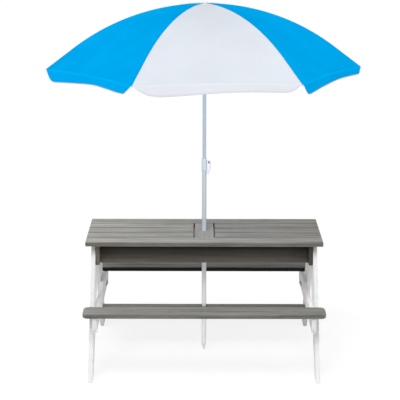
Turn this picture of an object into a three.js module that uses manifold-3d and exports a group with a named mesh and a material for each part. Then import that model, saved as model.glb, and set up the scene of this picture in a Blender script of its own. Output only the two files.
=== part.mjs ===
// Children's picnic table with a sandbox under two lift-off lids and a folding parasol.
// Millimetres, +Z up. The origin is on the floor, under the parasol pole.
// +X runs along the table, and the near bench is on the -Y side.
import * as THREE from "three";
import { mergeVertices } from "three/addons/utils/BufferGeometryUtils.js";
import Module from "manifold-3d";

const wasm = await Module();
wasm.setup();

// Timber sizes
const BOARD = 17; // thickness of every planed board
const ARRIS = 2.4; // small bevel along every board edge
const MOULD_EDGE = 1.6; // bevel of the moulded plastic pieces
const TABLE_LENGTH = 940;
const TABLE_WIDTH = 456;
const TABLE_HEIGHT = 504;
const TOP_PLANKS = 5; // planks across the top, rails included
const PLANK_GAP = 1;
const PLANK_CORNER = 5;
const PLATE_WIDTH = 76; // fixed board that the pole passes through
const LID_GAP = 5; // finger gap between the fixed board and each lid
const POLE_HOLE_PLAY = 0.3;
const WELD = 0.001; // points closer than this are one

// Benches and trestles
const BENCH_HEIGHT = 269;
const BENCH_WIDTH = 116;
const BENCH_CORNER = 24;
const OVERALL_DEPTH = 894; // over both benches
const BEAM_END_INSET = 7; // bench front to crossbeam end
const BEAM_CORNER = 24; // rounded lower corners of a crossbeam
const LEG_INSET = 21; // end of the top to the outer face of a leg
const FOOT_SPREAD = 934; // over the front and rear legs, on the floor
const FOOT_LENGTH = 100; // of one leg, on the floor
const LEG_OUTER_SLANT = THREE.MathUtils.degToRad(58.5); // of the edge that faces the bench
const LEG_INNER_SLANT = THREE.MathUtils.degToRad(49); // legs widen upwards
const LEG_TOP_CLEARANCE = 3; // under the lids
const LEG_MEETING_GAP = 1; // between the tops of a pair of legs
const STRETCHER_WIDTH = 50;
const STRETCHER_TOP = 189; // crossbeams stand on it
const STRETCHER_HOLE = 32;

// Sandbox
const BOX_HEIGHT = 84;
const BOX_WIDTH = 290; // over the front and rear walls
const BOX_END_LENGTH = 380; // end boards stand proud of the walls
const DIVIDER_INSET = 5; // fixed board rests on this much of each divider
const CLEAT = 15;
const FLOOR_SHEET = 5;
const FLOOR_PLAY = 1;
const BATTEN_WIDTH = 28;
const BATTEN_THICKNESS = 14;
const BATTEN_PLAY = 3; // lid battens to the box walls

// Parasol pole
const LOWER_TUBE_RADIUS = 9.3;
const UPPER_TUBE_RADIUS = 7.6;
const TUBE_WALL = 1;
const SLIDE_PLAY = 0.3;
const LOWER_TUBE_FOOT = 29;
const LOWER_TUBE_TOP = 786;
const UPPER_TUBE_FOOT = 676;
const SPIKE_TIP = 2; // just clear of the floor
const SPIKE_POINT_RADIUS = 1.2;
const SPIKE_PLUG = 24;

// Clamp that holds the telescopic pole, and its flip lever
const CLAMP_FOOT = 752;
const CLAMP_TOP = 801;
const CLAMP_WALL = 1.5;
const LEVER_AZIMUTH = THREE.MathUtils.degToRad(-12);
const LEVER_PIN_REACH = 20; // pole axis to lever pin
const LEVER_PIN_HEIGHT = 787;
const LEVER_PIN_RADIUS = 1.8;
const LUG_HEIGHT = 12;
const LUG_WIDTH = 5;
const LUG_NOSE = 4; // lug reach past the pin
const LEVER_WIDTH = 12;
const LEVER_LENGTH = 51; // pin to lever tip
const LEVER_BULGE = 6; // outermost face past the pin
const LEVER_TIP_RADIUS = 13; // lever tip from the pole axis
const LEVER_HEAD = 6; // lever reach above the pin
const LEVER_PLAY = 0.5;

// Canopy and its frame
const PARASOL_TURN = THREE.MathUtils.degToRad(4.8); // one rib stands this far from +X
const RIBS = 6;
const PEAK_HEIGHT = 1426; // fabric at the pole
const CANOPY_RADIUS = 632;
const MERIDIAN_RADIUS = 865; // the ribs bend on this circle near the pole
const MERIDIAN_END = THREE.MathUtils.degToRad(37); // and run straight from here out
const FABRIC = 1.2;
const FABRIC_START = 10; // hole of the fabric round the finial stem
const SEAM_GAP = 0.4;
const PANEL_SAG = 9; // fabric between two ribs, below its straight line
const HEM_RISE = 8;
const VALANCE = 36;
const VALANCE_CORNER = 34; // radius
const VALANCE_FLARE = 5;
const SLIT_WIDTH = 9; // opening of the valance round each rib
const SLIT_HEM = 1.6; // hem past the canopy edge, over the rib
const RIB_RADIUS = 1.7;
const RIB_CLEARANCE = 0.6;
const RIB_OVERHANG = 7; // rib tip past the fabric
const RIB_TIP_RADIUS = 3.2;
const ROD_SIDES = 6;
const EYE_RADIUS = 2.8;
const EYE_WIDTH = 3;
const PIN_RADIUS = 0.9;
const PIN_PLAY = 0.4;

// Top notch, runner and stretchers
const HUB_RADIUS = 17;
const HUB_HEIGHT = 14;
const HUB_PIVOT_REACH = 14;
const HUB_PIVOT_DROP = 1.8; // hinge pin below the centre line of the rib
const HUB_CLEARANCE = 1.2; // top notch below the fabric
const SLOT_PLAY = 0.5;
const SLOT_DEPTH = 8; // from the rim of hub or runner inwards
const FINIAL_RADIUS = 11;
const FINIAL_WAIST_SHARE = 0.64;
const FINIAL_HEIGHT = 20;
const FINIAL_STEM_RADIUS = 4;
const FINIAL_STEM = 9;
const RUNNER_PIVOT_DROP = 190; // below the fabric at the pole, with the parasol open
const RUNNER_PIVOT_REACH = 15;
const RUNNER_FLANGE_RADIUS = 18;
const RUNNER_FLANGE = 12;
const RUNNER_SKIRT = 20;
const RUNNER_WALL = 2.6;
const STRETCHER_ROD_RADIUS = 1.5;
const STRETCHER_SIDE_OFFSET = 5; // stretchers lie beside the ribs
const STRETCHER_REACH = 250; // along the rib, from the pole axis to the stretcher pin
const STRETCHER_PIN_DROP = 7.4; // below the fabric
const RIVET_REACH = 1.2; // rivet past its eye, towards the rib

// Counts
const TUBE_SIDES = 20;
const PIN_SIDES = 10;
const CORNER_STEPS = 3;
const CUT = 20; // overrun of cutting tools

// Places worked out from the sizes above
const TOP_UNDERSIDE = TABLE_HEIGHT - BOARD;
const BENCH_UNDERSIDE = BENCH_HEIGHT - BOARD;
const PLANK_WIDTH = (TABLE_WIDTH - (TOP_PLANKS - 1) * PLANK_GAP) / TOP_PLANKS;
const PLANK_PITCH = PLANK_WIDTH + PLANK_GAP;
const RAIL_Y = (TABLE_WIDTH - PLANK_WIDTH) / 2;
const WELL_WIDTH = TABLE_WIDTH - 2 * PLANK_WIDTH - 2 * PLANK_GAP; // between the two rails
const LEG_OUTER = TABLE_LENGTH / 2 - LEG_INSET;
const LEG_INNER = LEG_OUTER - BOARD;
const BEAM_INNER = LEG_INNER - BOARD;
const BOX_FOOT = TOP_UNDERSIDE - BOX_HEIGHT;
const BOX_INSIDE = BOX_WIDTH - 2 * BOARD;
const DIVIDER_INNER = PLATE_WIDTH / 2 - DIVIDER_INSET;
const DIVIDER_OUTER = DIVIDER_INNER + BOARD;
const LID_INNER = PLATE_WIDTH / 2 + LID_GAP;
const LID_LENGTH = TABLE_LENGTH / 2 - LID_INNER;
const RIB_DROP = FABRIC + RIB_CLEARANCE + RIB_RADIUS; // fabric to rib centre line
const RUNNER_PIVOT_HEIGHT = PEAK_HEIGHT - RUNNER_PIVOT_DROP;

// Colours and finishes
function finish(color, roughness, metalness = 0) {
  return () => new THREE.MeshStandardMaterial({ color, roughness, metalness });
}
const greyWood = finish(0x8b8982, 0.72);
const whiteWood = finish(0xeceae4, 0.6);
const boxWood = finish(0x6f6a60, 0.78);
const sheetWood = finish(0xb9a684, 0.8);
const tubePaint = finish(0xc3ced6, 0.35, 0.15);
const whitePlastic = finish(0xe6e8ea, 0.45);
const steel = finish(0xb9bdc0, 0.35, 0.8);
const blueFabric = finish(0x0a9fe8, 0.85);
const whiteFabric = finish(0xe9ebf0, 0.85);

// Geometry and solids
function solidOf(geometry) {
  const bare = geometry.clone();
  bare.deleteAttribute("normal");
  bare.deleteAttribute("uv");
  const merged = mergeVertices(bare, WELD);
  return new wasm.Manifold(
    new wasm.Mesh({
      numProp: 3,
      vertProperties: merged.attributes.position.array,
      triVerts: new Uint32Array(merged.index.array),
    }),
  );
}

function geometryOf(solid) {
  const mesh = solid.getMesh();
  const geometry = new THREE.BufferGeometry();
  geometry.setAttribute("position", new THREE.BufferAttribute(mesh.vertProperties, 3));
  geometry.setIndex(new THREE.BufferAttribute(mesh.triVerts, 1));
  geometry.computeVertexNormals();
  return geometry;
}

function piece(name, geometry, material) {
  const mesh = new THREE.Mesh(geometry, material());
  mesh.name = name;
  return mesh;
}

// A board cut to an outline, with bevelled edges, from 0 up to its thickness
function board(outline, thickness = BOARD, edge = ARRIS) {
  const geometry = new THREE.ExtrudeGeometry(outline, {
    depth: thickness - 2 * edge,
    bevelThickness: edge,
    bevelSize: edge,
    bevelOffset: -edge,
    bevelSegments: 1,
    curveSegments: CORNER_STEPS,
  });
  return geometry.translate(0, 0, edge);
}

function rectangle(width, height, corner = 0) {
  const outline = new THREE.Shape();
  const x = width / 2;
  const y = height / 2;
  if (corner === 0) {
    outline.moveTo(-x, -y).lineTo(x, -y).lineTo(x, y).lineTo(-x, y);
    return outline;
  }
  outline.moveTo(-x + corner, -y);
  outline.lineTo(x - corner, -y);
  outline.absarc(x - corner, -y + corner, corner, -Math.PI / 2, 0);
  outline.absarc(x - corner, y - corner, corner, 0, Math.PI / 2);
  outline.absarc(-x + corner, y - corner, corner, Math.PI / 2, Math.PI);
  outline.absarc(-x + corner, -y + corner, corner, Math.PI, (3 * Math.PI) / 2);
  return outline;
}

function polygon(points) {
  return new THREE.Shape(points.map(([x, y]) => new THREE.Vector2(x, y)));
}

function roundHole(radius, sides = TUBE_SIDES) {
  const hole = new THREE.Path();
  for (let i = 0; i < sides; i++) {
    const angle = (-2 * Math.PI * i) / sides;
    const x = radius * Math.cos(angle);
    const y = radius * Math.sin(angle);
    if (i === 0) hole.moveTo(x, y);
    else hole.lineTo(x, y);
  }
  hole.closePath();
  return hole;
}

// Turns a flat outline so that it stands along Y, its thickness along X
function standAlongY(geometry) {
  const turn = new THREE.Matrix4().makeBasis(
    new THREE.Vector3(0, 1, 0),
    new THREE.Vector3(0, 0, 1),
    new THREE.Vector3(1, 0, 0),
  );
  return geometry.applyMatrix4(turn);
}

// Turns a flat outline so that it stands along X, its thickness along -Y
function standAlongX(geometry) {
  return geometry.rotateX(Math.PI / 2);
}

// A turned piece from a closed profile of [radius, height] points
function turned(profile, sides = TUBE_SIDES) {
  const points = profile.map(([r, z]) => new THREE.Vector2(r, z));
  return new THREE.LatheGeometry(points, sides).rotateX(Math.PI / 2);
}

function tube(outer, inner, foot, top) {
  return turned([[inner, foot], [outer, foot], [outer, top], [inner, top], [inner, foot]]);
}

// A round pin or drill along Y, centred on x, y, z
function crossPin(radius, length, x, y, z, sides = PIN_SIDES) {
  return new THREE.CylinderGeometry(radius, radius, length, sides).translate(x, y, z);
}

function block(x0, x1, y0, y1, z0, z1) {
  const geometry = new THREE.BoxGeometry(x1 - x0, y1 - y0, z1 - z0);
  return geometry.translate((x0 + x1) / 2, (y0 + y1) / 2, (z0 + z1) / 2);
}

// Table top: two full-length rails, the fixed centre board and two lids
function topRail(name, side) {
  const mesh = piece(name, board(rectangle(TABLE_LENGTH, PLANK_WIDTH, PLANK_CORNER)), greyWood);
  mesh.position.set(0, side * RAIL_Y, TOP_UNDERSIDE);
  return mesh;
}

function centrePlate() {
  const outline = rectangle(PLATE_WIDTH, WELL_WIDTH);
  outline.holes.push(roundHole(LOWER_TUBE_RADIUS + POLE_HOLE_PLAY));
  const mesh = piece("centre_plate", board(outline), greyWood);
  mesh.position.z = TOP_UNDERSIDE;
  return mesh;
}

function lid(name, side) {
  const group = new THREE.Group();
  const centre = side * (LID_INNER + LID_LENGTH / 2);
  for (let row = -1; row <= 1; row++) {
    const outline = rectangle(LID_LENGTH, PLANK_WIDTH, PLANK_CORNER);
    const plank = piece(name + "_plank_" + (row + 2), board(outline), greyWood);
    plank.position.set(centre, row * PLANK_PITCH, 0);
    group.add(plank);
  }
  const reaches = [
    DIVIDER_OUTER + BATTEN_PLAY + BATTEN_WIDTH / 2,
    BEAM_INNER - BATTEN_PLAY - BATTEN_WIDTH / 2,
  ];
  reaches.forEach((reach, i) => {
    const outline = rectangle(BATTEN_WIDTH, BOX_INSIDE - 2 * BATTEN_PLAY);
    const batten = piece(name + "_batten_" + (i + 1), board(outline, BATTEN_THICKNESS), greyWood);
    batten.position.set(side * reach, 0, -BATTEN_THICKNESS);
    group.add(batten);
  });
  group.position.z = TOP_UNDERSIDE;
  return group;
}

// Trestles: a pair of slanted legs, a crossbeam and a box end board at each end
function legOutline(side) {
  const rise = TOP_UNDERSIDE - LEG_TOP_CLEARANCE;
  const outerLean = 1 / Math.tan(LEG_OUTER_SLANT);
  const innerLean = 1 / Math.tan(LEG_INNER_SLANT);
  const meeting = -LEG_MEETING_GAP / 2;
  const front = -FOOT_SPREAD / 2;
  const back = front + FOOT_LENGTH;
  const points = [[front, 0], [back, 0]];
  if (back + rise * innerLean > meeting) {
    points.push([meeting, (meeting - back) / innerLean], [meeting, rise]);
  } else {
    points.push([back + rise * innerLean, rise]);
  }
  points.push([front + rise * outerLean, rise]);
  const turnedRound = points.map(([y, z]) => [side * -y, z]);
  return polygon(side < 0 ? points : turnedRound.reverse());
}

function leg(name, end, side) {
  const mesh = piece(name, standAlongY(board(legOutline(side))), whiteWood);
  mesh.position.x = end < 0 ? -LEG_OUTER : LEG_INNER;
  return mesh;
}

function crossbeam(name, end) {
  const reach = OVERALL_DEPTH / 2 - BEAM_END_INSET;
  const outline = new THREE.Shape();
  outline.moveTo(-reach + BEAM_CORNER, STRETCHER_TOP);
  outline.lineTo(reach - BEAM_CORNER, STRETCHER_TOP);
  outline.absarc(reach - BEAM_CORNER, STRETCHER_TOP + BEAM_CORNER, BEAM_CORNER, -Math.PI / 2, 0);
  outline.lineTo(reach, BENCH_UNDERSIDE);
  outline.lineTo(-reach, BENCH_UNDERSIDE);
  outline.absarc(-reach + BEAM_CORNER, STRETCHER_TOP + BEAM_CORNER, BEAM_CORNER, Math.PI, 1.5 * Math.PI);
  const mesh = piece(name, standAlongY(board(outline)), whiteWood);
  mesh.position.x = end < 0 ? -LEG_INNER : BEAM_INNER;
  return mesh;
}

function bench(name, side) {
  const mesh = piece(name, board(rectangle(TABLE_LENGTH, BENCH_WIDTH, BENCH_CORNER)), greyWood);
  mesh.position.set(0, (side * (OVERALL_DEPTH - BENCH_WIDTH)) / 2, BENCH_UNDERSIDE);
  return mesh;
}

function stretcher() {
  const outline = rectangle(2 * LEG_INNER, STRETCHER_WIDTH);
  outline.holes.push(roundHole(STRETCHER_HOLE / 2));
  const mesh = piece("lower_stretcher", board(outline), greyWood);
  mesh.position.z = STRETCHER_TOP - BOARD;
  return mesh;
}

// Sandbox: end boards on the legs, walls between them, dividers, cleats and two floors
function boxEnd(name, end) {
  const mesh = piece(name, standAlongY(board(rectangle(BOX_END_LENGTH, BOX_HEIGHT))), boxWood);
  mesh.position.set(end < 0 ? -LEG_INNER : BEAM_INNER, 0, BOX_FOOT + BOX_HEIGHT / 2);
  return mesh;
}

function boxWall(name, side) {
  const mesh = piece(name, standAlongX(board(rectangle(2 * BEAM_INNER, BOX_HEIGHT))), boxWood);
  const outerFace = BOX_WIDTH / 2;
  mesh.position.set(0, side < 0 ? -outerFace + BOARD : outerFace, BOX_FOOT + BOX_HEIGHT / 2);
  return mesh;
}

function boxDivider(name, end) {
  const height = BOX_HEIGHT - CLEAT;
  const mesh = piece(name, standAlongY(board(rectangle(BOX_INSIDE, height))), boxWood);
  mesh.position.set(end < 0 ? -DIVIDER_OUTER : DIVIDER_INNER, 0, BOX_FOOT + CLEAT + height / 2);
  return mesh;
}

function boxCleat(name, side) {
  const mesh = piece(name, board(rectangle(2 * BEAM_INNER, CLEAT), CLEAT), boxWood);
  mesh.position.set(0, (side * (BOX_INSIDE - CLEAT)) / 2, BOX_FOOT);
  return mesh;
}

function boxFloor(name, end) {
  const length = BEAM_INNER - DIVIDER_OUTER - 2 * FLOOR_PLAY;
  const outline = rectangle(length, BOX_INSIDE - 2 * FLOOR_PLAY);
  const mesh = piece(name, board(outline, FLOOR_SHEET, ARRIS / 2), sheetWood);
  mesh.position.set((end * (BEAM_INNER + DIVIDER_OUTER)) / 2, 0, BOX_FOOT + CLEAT);
  return mesh;
}

// Pole: lower tube with its ground spike, and the upper tube that slides in it
function lowerTube() {
  const bore = UPPER_TUBE_RADIUS + SLIDE_PLAY;
  const geometry = tube(LOWER_TUBE_RADIUS, bore, LOWER_TUBE_FOOT, LOWER_TUBE_TOP);
  return piece("lower_tube", geometry, tubePaint);
}

function spike() {
  const plug = UPPER_TUBE_RADIUS;
  const foot = LOWER_TUBE_FOOT;
  const profile = [
    [0, SPIKE_TIP],
    [SPIKE_POINT_RADIUS, SPIKE_TIP],
    [LOWER_TUBE_RADIUS, foot],
    [plug, foot],
    [plug, foot + SPIKE_PLUG],
    [0, foot + SPIKE_PLUG],
  ];
  return piece("ground_spike", turned(profile), whitePlastic);
}

function upperTube() {
  const top = PEAK_HEIGHT - RIB_DROP - EYE_RADIUS;
  const geometry = tube(UPPER_TUBE_RADIUS, UPPER_TUBE_RADIUS - TUBE_WALL, UPPER_TUBE_FOOT, top);
  return piece("upper_tube", geometry, tubePaint);
}

// Clamp: a stepped collar on the lower tube with a lug for the lever
function clampBody() {
  const seat = LOWER_TUBE_RADIUS + SLIDE_PLAY;
  const bore = UPPER_TUBE_RADIUS + SLIDE_PLAY;
  const outer = seat + CLAMP_WALL;
  const step = LOWER_TUBE_TOP + SLIDE_PLAY;
  const collar = turned([
    [seat, CLAMP_FOOT],
    [outer, CLAMP_FOOT],
    [outer, CLAMP_TOP - MOULD_EDGE],
    [outer - MOULD_EDGE, CLAMP_TOP],
    [bore, CLAMP_TOP],
    [bore, step],
    [seat, step],
    [seat, CLAMP_FOOT],
  ]);
  const nose = LEVER_PIN_REACH + LUG_NOSE;
  const lugFoot = LEVER_PIN_HEIGHT - LUG_HEIGHT / 2;
  const wall = (seat + outer) / 2;
  const lug = block(wall, nose, -LUG_WIDTH / 2, LUG_WIDTH / 2, lugFoot, lugFoot + LUG_HEIGHT);
  const pinLength = LEVER_WIDTH - LEVER_PLAY;
  const pin = crossPin(LEVER_PIN_RADIUS, pinLength, LEVER_PIN_REACH, 0, LEVER_PIN_HEIGHT);
  const solid = solidOf(collar).add(solidOf(lug)).add(solidOf(pin));
  const mesh = piece("clamp_body", geometryOf(solid), whitePlastic);
  mesh.rotation.z = LEVER_AZIMUTH;
  return mesh;
}

// Lever: two cheeks on the lug pin and a bowed grip that lies along the pole
function clampLever() {
  const collar = LOWER_TUBE_RADIUS + SLIDE_PLAY + CLAMP_WALL + LEVER_PLAY;
  const outer = LEVER_PIN_REACH + LEVER_BULGE;
  const head = LEVER_PIN_HEIGHT + LEVER_HEAD;
  const tip = LEVER_PIN_HEIGHT - LEVER_LENGTH;
  const outline = new THREE.Shape();
  outline.moveTo(collar + LEVER_PLAY, LEVER_PIN_HEIGHT - LEVER_HEAD);
  outline.lineTo(collar, CLAMP_FOOT);
  outline.lineTo(LEVER_TIP_RADIUS, tip);
  outline.lineTo(LEVER_TIP_RADIUS + LEVER_HEAD / 2, tip);
  outline.quadraticCurveTo(outer, tip + LEVER_LENGTH / 3, outer, LEVER_PIN_HEIGHT - LEVER_LENGTH / 3);
  outline.quadraticCurveTo(outer, head, LEVER_PIN_REACH, head);
  outline.quadraticCurveTo(collar + LEVER_PLAY, head, collar + LEVER_PLAY, LEVER_PIN_HEIGHT);
  const extruded = new THREE.ExtrudeGeometry(outline, {
    depth: LEVER_WIDTH,
    bevelEnabled: false,
    curveSegments: 2 * CORNER_STEPS,
  });
  const grip = standAlongX(extruded).translate(0, LEVER_WIDTH / 2, 0);
  const slotSide = LUG_WIDTH / 2 + LEVER_PLAY;
  const lugRoom = LUG_HEIGHT / 2 + LUG_NOSE;
  const slot = block(
    0, LEVER_PIN_REACH + lugRoom, -slotSide, slotSide,
    LEVER_PIN_HEIGHT - lugRoom, LEVER_PIN_HEIGHT + CUT,
  );
  const bore = crossPin(LEVER_PIN_RADIUS + PIN_PLAY, CUT, LEVER_PIN_REACH, 0, LEVER_PIN_HEIGHT);
  const solid = solidOf(grip).subtract(solidOf(slot)).subtract(solidOf(bore));
  const mesh = piece("clamp_lever", geometryOf(solid), whitePlastic);
  mesh.rotation.z = LEVER_AZIMUTH;
  return mesh;
}

// The meridian of the canopy: an arc from the pole, then a straight line. The distance runs
// along the fabric from the pole axis, and the drop is square to the fabric.
function meridianPoint(distance, drop) {
  const angle = Math.min(distance / MERIDIAN_RADIUS, MERIDIAN_END);
  const straight = Math.max(distance - MERIDIAN_RADIUS * MERIDIAN_END, 0);
  const arm = MERIDIAN_RADIUS - drop;
  const reach = arm * Math.sin(angle) + straight * Math.cos(angle);
  const rise = arm * Math.cos(angle) - straight * Math.sin(angle) - MERIDIAN_RADIUS;
  return new THREE.Vector3(reach, 0, PEAK_HEIGHT + rise);
}

// Distance along the fabric at which it has come out this far from the pole
function meridianDistance(reach) {
  const arcReach = MERIDIAN_RADIUS * Math.sin(MERIDIAN_END);
  if (reach <= arcReach) return MERIDIAN_RADIUS * Math.asin(reach / MERIDIAN_RADIUS);
  return MERIDIAN_RADIUS * MERIDIAN_END + (reach - arcReach) / Math.cos(MERIDIAN_END);
}

// A round rod through points that lie in one upright plane along X
function rod(radius, points) {
  const positions = [];
  points.forEach((point, i) => {
    const before = points[Math.max(i - 1, 0)];
    const after = points[Math.min(i + 1, points.length - 1)];
    const along = after.clone().sub(before).normalize();
    for (let side = 0; side < ROD_SIDES; side++) {
      const angle = (2 * Math.PI * side) / ROD_SIDES;
      const up = radius * Math.cos(angle);
      const aside = radius * Math.sin(angle);
      positions.push(point.x - along.z * up, point.y + aside, point.z + along.x * up);
    }
  });
  const indices = [];
  for (let i = 0; i < points.length - 1; i++) {
    for (let side = 0; side < ROD_SIDES; side++) {
      const next = (side + 1) % ROD_SIDES;
      const [a, b] = [i * ROD_SIDES + side, i * ROD_SIDES + next];
      const [c, d] = [a + ROD_SIDES, b + ROD_SIDES];
      indices.push(a, d, b, a, c, d);
    }
  }
  const last = (points.length - 1) * ROD_SIDES;
  for (let side = 1; side < ROD_SIDES - 1; side++) {
    indices.push(0, side, side + 1, last, last + side + 1, last + side);
  }
  const geometry = new THREE.BufferGeometry();
  geometry.setAttribute("position", new THREE.Float32BufferAttribute(positions, 3));
  geometry.setIndex(indices);
  return geometry;
}

// Rows of a canopy panel and of the ribs under it, and its columns from a rib to the middle
const PANEL_ROW_SHARES = [0, 0.16, 0.32, 0.48, 0.64, 0.8, 0.92, 1];
const PANEL_EDGE_SHARES = [0, 0.014, 0.022, 0.04, 0.07, 0.122, 0.34, 0.66, 1];
const FABRIC_FROM = meridianDistance(FABRIC_START);
const FABRIC_END = meridianDistance(CANOPY_RADIUS);

// A rib of the parasol, with the eye on the top notch and the cap at its tip
const HUB_PIVOT = meridianPoint(HUB_PIVOT_REACH, RIB_DROP);
HUB_PIVOT.z -= HUB_PIVOT_DROP;
const STRETCHER_PIN = meridianPoint(STRETCHER_REACH, STRETCHER_PIN_DROP);

function rib(name) {
  const end = FABRIC_END + RIB_OVERHANG;
  const rows = PANEL_ROW_SHARES.map((share) => FABRIC_FROM + share * (FABRIC_END - FABRIC_FROM));
  const distances = [HUB_PIVOT_REACH, ...rows.filter((row) => row > HUB_PIVOT_REACH), end];
  const points = distances.map((distance) => meridianPoint(distance, RIB_DROP));
  const tipPoint = meridianPoint(end, RIB_DROP);
  const tip = new THREE.SphereGeometry(RIB_TIP_RADIUS, ROD_SIDES, ROD_SIDES / 2);
  tip.translate(tipPoint.x, tipPoint.y, tipPoint.z);
  const eye = crossPin(EYE_RADIUS, EYE_WIDTH, HUB_PIVOT.x, 0, HUB_PIVOT.z);
  const bore = crossPin(PIN_RADIUS + PIN_PLAY, CUT, HUB_PIVOT.x, 0, HUB_PIVOT.z);
  const solid = solidOf(rod(RIB_RADIUS, points))
    .add(solidOf(tip))
    .add(solidOf(eye))
    .subtract(solidOf(bore));
  return piece(name, geometryOf(solid), steel);
}

// A stretcher runs beside its rib, from the runner to a rivet level with the rib
function stretcherRod(name) {
  const from = new THREE.Vector3(RUNNER_PIVOT_REACH, STRETCHER_SIDE_OFFSET, RUNNER_PIVOT_HEIGHT);
  const to = STRETCHER_PIN.clone().setY(STRETCHER_SIDE_OFFSET);
  const shaft = rod(STRETCHER_ROD_RADIUS, [from, to]);
  const innerEye = crossPin(EYE_RADIUS, EYE_WIDTH, from.x, from.y, from.z);
  const outerEye = crossPin(EYE_RADIUS, EYE_WIDTH, to.x, to.y, to.z);
  const rivetY = STRETCHER_SIDE_OFFSET - (EYE_WIDTH / 2 + RIVET_REACH) / 2;
  const rivet = crossPin(PIN_RADIUS, EYE_WIDTH / 2 + RIVET_REACH, to.x, rivetY, to.z);
  const bore = crossPin(PIN_RADIUS + PIN_PLAY, CUT, from.x, from.y, from.z);
  const solid = solidOf(shaft)
    .add(solidOf(innerEye))
    .subtract(solidOf(bore))
    .add(solidOf(outerEye))
    .add(solidOf(rivet));
  return piece(name, geometryOf(solid), steel);
}

// Cuts a slot for each rod end into a turned piece and puts its hinge pin across the slot
function slotted(profile, rim, foot, top, pinReach, pinHeight, sideOffset) {
  const slotSide = EYE_WIDTH / 2 + SLOT_PLAY;
  const slot = block(
    rim - SLOT_DEPTH, rim + CUT,
    sideOffset - slotSide, sideOffset + slotSide,
    foot - CUT, top + CUT,
  );
  const pinLength = 2 * slotSide + 2 * SLOT_PLAY;
  const pin = crossPin(PIN_RADIUS, pinLength, pinReach, sideOffset, pinHeight);
  let solid = solidOf(turned(profile));
  for (let i = 0; i < RIBS; i++) {
    const turn = (360 * i) / RIBS;
    solid = solid.subtract(solidOf(slot).rotate([0, 0, turn]));
    solid = solid.add(solidOf(pin).rotate([0, 0, turn]));
  }
  return geometryOf(solid);
}

function hub() {
  const top = PEAK_HEIGHT - FABRIC - HUB_CLEARANCE;
  const foot = top - HUB_HEIGHT;
  const seat = PEAK_HEIGHT - RIB_DROP - EYE_RADIUS + SLIDE_PLAY; // over the end of the tube
  const bore = UPPER_TUBE_RADIUS + SLIDE_PLAY;
  const stemBore = FINIAL_STEM_RADIUS + SLIDE_PLAY;
  const profile = [
    [bore, foot],
    [HUB_RADIUS, foot],
    [HUB_RADIUS, top - MOULD_EDGE],
    [HUB_RADIUS - MOULD_EDGE, top],
    [stemBore, top],
    [stemBore, seat],
    [bore, seat],
    [bore, foot],
  ];
  const geometry = slotted(profile, HUB_RADIUS, foot, top, HUB_PIVOT.x, HUB_PIVOT.z, 0);
  return piece("top_notch", geometry, whitePlastic);
}

function finial() {
  const foot = PEAK_HEIGHT + SEAM_GAP;
  const top = foot + FINIAL_HEIGHT;
  const waist = FINIAL_RADIUS * FINIAL_WAIST_SHARE;
  const profile = [
    [0, PEAK_HEIGHT - FINIAL_STEM],
    [FINIAL_STEM_RADIUS, PEAK_HEIGHT - FINIAL_STEM],
    [FINIAL_STEM_RADIUS, foot],
    [FINIAL_RADIUS, foot],
    [FINIAL_RADIUS, foot + FINIAL_HEIGHT / 4],
    [waist, foot + FINIAL_HEIGHT / 2],
    [waist, top - MOULD_EDGE],
    [waist / 2, top],
    [0, top],
  ];
  return piece("finial", turned(profile), whitePlastic);
}

function runner() {
  const bore = UPPER_TUBE_RADIUS + SLIDE_PLAY;
  const sleeve = bore + RUNNER_WALL;
  const top = RUNNER_PIVOT_HEIGHT + RUNNER_FLANGE / 2;
  const flangeFoot = top - RUNNER_FLANGE;
  const foot = flangeFoot - RUNNER_SKIRT;
  const profile = [
    [bore, foot],
    [sleeve + MOULD_EDGE, foot],
    [sleeve, foot + RUNNER_SKIRT / 3],
    [sleeve, flangeFoot - MOULD_EDGE],
    [RUNNER_FLANGE_RADIUS - MOULD_EDGE, flangeFoot],
    [RUNNER_FLANGE_RADIUS, flangeFoot + MOULD_EDGE],
    [RUNNER_FLANGE_RADIUS, top],
    [bore, top],
    [bore, foot],
  ];
  const geometry = slotted(
    profile, RUNNER_FLANGE_RADIUS, flangeFoot - MOULD_EDGE, top,
    RUNNER_PIVOT_REACH, RUNNER_PIVOT_HEIGHT, STRETCHER_SIDE_OFFSET,
  );
  return piece("runner", geometry, whitePlastic);
}

// Canopy: a panel spans two ribs, and is drawn here with its middle over +X
function fabricPoint(out, across, drop) {
  const spine = meridianPoint(FABRIC_FROM + out * (FABRIC_END - FABRIC_FROM), drop);
  const middle = spine.x * Math.cos(Math.PI / RIBS);
  const halfChord = spine.x * Math.sin(Math.PI / RIBS) - SEAM_GAP / 2;
  const swell = 1 - across ** 2;
  const sag = swell * (PANEL_SAG * Math.sin(Math.PI * out) - HEM_RISE * out ** 4);
  return new THREE.Vector3(middle, across * halfChord, spine.z - sag);
}

// The valance hangs from the hem, with a slit and rounded corners at the ribs
function valancePoint(across, drop) {
  const hem = fabricPoint(1, across, drop);
  const fromRib = CANOPY_RADIUS * Math.sin(Math.PI / RIBS) * (1 - Math.abs(across));
  const corner = Math.min(Math.max(fromRib - SLIT_WIDTH / 2, 0) / VALANCE_CORNER, 1);
  const share = Math.sqrt(1 - (1 - corner) ** 2);
  const slit = SLIT_HEM * (1 - share);
  hem.x += slit * Math.cos(MERIDIAN_END) + VALANCE_FLARE * share;
  hem.z -= slit * Math.sin(MERIDIAN_END) + VALANCE * share;
  return hem;
}

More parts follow.
